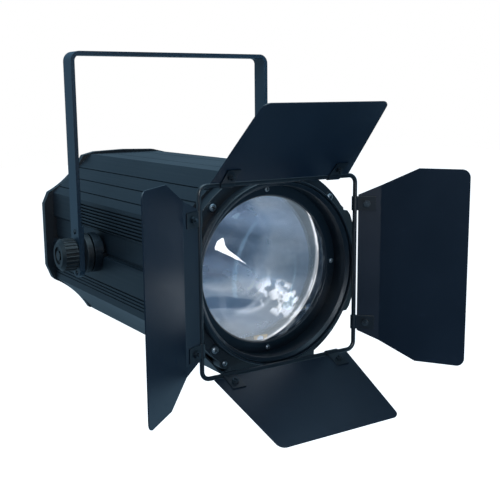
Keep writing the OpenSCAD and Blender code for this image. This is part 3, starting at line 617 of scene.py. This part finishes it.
def make_fasteners():
    tree = fastener_tree()
    front, back = Vector((0, -1, 0)), Vector((0, 1, 0))
    signs = [(a, b) for a in (-1, 1) for b in (-1, 1)]
    corners = [(sx * CORNER, sz * CORNER) for sx, sz in signs]
    places = [(at(x, FRAME_FRONT, z), front, 6.2, WASHER) for x, z in corners]
    places += [(at(x, FRAME_FRONT - WASHER_TOP, z), front, 4.2, CROSS_HEAD) for x, z in corners]
    places.append((at(SMALL_SCREW[0], FRAME_FRONT, SMALL_SCREW[1]), front, 3.2, CROSS_HEAD))
    fasten(tree, "front_screws", places, "zinc", 3)

    places = []
    for quarter in range(4):
        angle = quarter * math.pi / 2
        x, z = RETAINER_CIRCLE * math.cos(angle), RETAINER_CIRCLE * math.sin(angle)
        places.append((at(x, RETAINER_FACE, z), front, 2.9, CROSS_HEAD))
    fasten(tree, "retainer_screws", places, "zinc", 5)

    places = [(at(x, CAP_BACK, z), back, 4.4, CROSS_HEAD) for x, z in corners]
    for sx, sz in signs:
        places.append((at(sx * GUARD_HALF, GUARD_BACK, FAN_HEIGHT + sz * GUARD_HALF), back, 2.9, CROSS_HEAD))
    fasten(tree, "rear_screws", places, "dark_zinc", 7)

    places = []
    for side in (-1, 1):
        for height in RIVET_HEIGHTS:
            middle = PIVOT + Vector((side * ARM_OUT, 0, height)) * MM
            places.append((middle, Vector((side, 0, 0)), 3.4, RIVET))
    fasten(tree, "yoke_rivets", places, "dark_zinc", 9)

    for seed, (leaf, (turn, opening)) in enumerate(LEAVES.items(), 11):
        hung = Matrix.Rotation(math.radians(turn), 4, "Y") @ Matrix.Translation((0, 0, HALF_SIDE))
        hung = hung @ Matrix.Rotation(math.radians(opening), 4, "X")
        outward = hung.to_3x3() @ Vector((0, 1, 0))
        places = []
        for side in (-1, 1):
            outer = hung @ Vector((side * CLIP_AT, LEAF_FACE, CLIP_SCREW))
            inner = hung @ Vector((side * CLIP_AT, -LEAF_FACE, CLIP_SCREW))
            places.append((at(*outer), outward, 3.6, CROSS_HEAD))
            places.append((at(*inner), -outward, 4.0, NUT))
        fasten(tree, "leaf_screws_" + leaf, places, "dark_zinc", seed)


# ---- Turned pieces --------------------------------------------------------


def turned(name, profile, steps):
    """A mesh turned about the lens axis from (radius, depth) points in millimetres."""
    work = bmesh.new()
    rings = []
    for radius, depth in profile:
        if radius < 1e-6:
            rings.append([work.verts.new(at(0, depth, 0))])
            continue
        ring = []
        for i in range(steps):
            angle = 2 * math.pi * i / steps
            ring.append(work.verts.new(at(radius * math.cos(angle), depth, radius * math.sin(angle))))
        rings.append(ring)
    for first, second in zip(rings, rings[1:]):
        for i in range(steps):
            j = (i + 1) % steps
            corners = [first[i % len(first)], first[j % len(first)]]
            corners += [second[j % len(second)], second[i % len(second)]]
            corners = [c for k, c in enumerate(corners) if c not in corners[:k]]
            if len(corners) > 2:
                work.faces.new(corners)
    bmesh.ops.recalc_face_normals(work, faces=work.faces)
    mesh = bpy.data.meshes.new(name)
    work.to_mesh(mesh)
    work.free()
    mesh.shade_smooth()
    return mesh


# Radius of the dome's curve, depth of its apex, radius of its edge and depth of its flat back.
LENS_CURVE, LENS_APEX, LENS_EDGE, LENS_FLAT = 141.0, 3.98, 85.0, 37.0
GROUND_RIM = 0.4
DOME_STEPS, LENS_STEPS = 40, 144


def make_lens():
    """The dome as one true curve, with a ground rim and a flat back."""
    def depth(radius):
        return LENS_APEX + LENS_CURVE - math.sqrt(LENS_CURVE**2 - radius**2)

    radii = [LENS_EDGE * i / DOME_STEPS for i in range(DOME_STEPS + 1)]
    dome = [(radius, depth(radius)) for radius in radii]
    back = [(LENS_EDGE, LENS_FLAT - GROUND_RIM), (LENS_EDGE - GROUND_RIM, LENS_FLAT)]
    back += [(40.0, LENS_FLAT), (0.0, LENS_FLAT)]
    mesh = turned("lens_dome", dome + back, LENS_STEPS)
    mesh.set_sharp_from_angle(angle=math.radians(40))
    as_piece("lens_dome", mesh, lens_glass, "housing", ["lens"])


# ---- Studio ---------------------------------------------------------------


def soft_light(name, place, target, size, power, colour):
    data = bpy.data.lights.new(name, "AREA")
    data.shape = "RECTANGLE"
    data.size, data.size_y = size
    data.energy = power
    data.color = colour
    light = linked(name, data)
    light.location = place
    light.rotation_euler = (Vector(target) - Vector(place)).to_track_quat("-Z", "Y").to_euler()
    return light


def glowing_sheet(name, corners, strength, **constants):
    """A flat face that gives off white light, with a plain material of the same name."""
    mesh = bpy.data.meshes.new(name)
    mesh.from_pydata(corners, [], [tuple(range(len(corners)))])
    constants.update(Emission_Color=(1, 1, 1, 1), Emission_Strength=strength)
    mesh.materials.append(new_material(name, lambda place, put: None, **constants))
    return linked(name, mesh)


CARD_CENTRE = at(-50, 16, 25)  # the part of the lens that reflects the card
CARD_DISTANCE = 2.4
CARD_OUTLINE = [(-31, 15), (-28, 23), (-21, 26), (-20, 18), (-16, 13), (0, -1), (-20, 10)]


def light_card(name, middle, outline, strength):
    """A glowing card around middle, whose corners are given by bearing and height in degrees."""
    corners = []
    for bearing, height in outline:
        bearing, height = math.radians(bearing), math.radians(height)
        level = math.cos(height)
        way = Vector((math.sin(bearing) * level, -math.cos(bearing) * level, math.sin(height)))
        corners.append(middle + way * CARD_DISTANCE)
    card = glowing_sheet(name, corners, strength)
    card.visible_camera = False
    card.visible_diffuse = False
    card.visible_transmission = False
    card.visible_shadow = False


FLOOR_HEIGHT, FLOOR_HALF = -1.3, 14.0
SKY_FRONT, SKY_BACK = (0.045, 0.095, 0.15, 1), (0.20, 0.34, 0.46, 1)
SKY_BLUE = (0.6, 0.86, 1.0)


def make_floor():
    """White, and seen by the camera only."""
    square = ((-1, -1), (1, -1), (1, 1), (-1, 1))
    corners = [(x * FLOOR_HALF, y * FLOOR_HALF, FLOOR_HEIGHT) for x, y in square]
    floor = glowing_sheet("floor", corners, 1.0, Base_Color=(0.8, 0.8, 0.8, 1), Roughness=0.9)
    floor.visible_diffuse = False
    floor.visible_glossy = False
    floor.visible_transmission = False


def make_world():
    """White to the camera; to everything else, brighter behind the light than in front of it."""
    world = bpy.data.worlds.new("studio")
    bpy.context.scene.world = world
    world.use_nodes = True
    tree = world.node_tree
    tree.nodes.clear()
    rays = tree.nodes.new("ShaderNodeLightPath")
    seen = tree.nodes.new("ShaderNodeBackground")
    seen.inputs["Color"].default_value = (1, 1, 1, 1)
    seen.inputs["Strength"].default_value = 1.0
    way = Sock(tree, tree.nodes.new("ShaderNodeTexCoord").outputs["Generated"])
    backdrop = way.parts()[1].between(-0.12, 0.1)
    lighting = tree.nodes.new("ShaderNodeBackground")
    tree.links.new(backdrop.mix(SKY_FRONT, SKY_BACK).link, lighting.inputs["Color"])
    lighting.inputs["Strength"].default_value = 1.0
    mixed = tree.nodes.new("ShaderNodeMixShader")
    out = tree.nodes.new("ShaderNodeOutputWorld")
    tree.links.new(rays.outputs["Is Camera Ray"], mixed.inputs[0])
    tree.links.new(lighting.outputs[0], mixed.inputs[1])
    tree.links.new(seen.outputs[0], mixed.inputs[2])
    tree.links.new(mixed.outputs[0], out.inputs["Surface"])


def make_studio():
    make_floor()
    make_world()
    centre = at(0, 150, 0)
    soft_light("overhead", at(-200, -150, 1450), centre, (1.5, 1.8), 27, SKY_BLUE)
    soft_light("left", at(-1800, 300, 500), centre, (1.0, 1.4), 5, SKY_BLUE)
    front_blue, rim_blue = (0.62, 0.86, 1.0), (0.5, 0.82, 1.0)
    low = soft_light("front_low", at(300, -1500, -900), at(0, -60, 0), (1.2, 1.0), 26, front_blue)
    low.visible_glossy = False
    low.visible_transmission = False
    soft_light("right_rim", at(1300, -700, -600), at(60, 10, -60), (0.4, 1.3), 4.5, rim_blue)
    light_card("flash_card", CARD_CENTRE, CARD_OUTLINE, 30.0)
    bpy.context.scene.view_settings.view_transform = "Standard"


make_camera()
finish_frame()
make_fasteners()
make_lens()
make_studio()
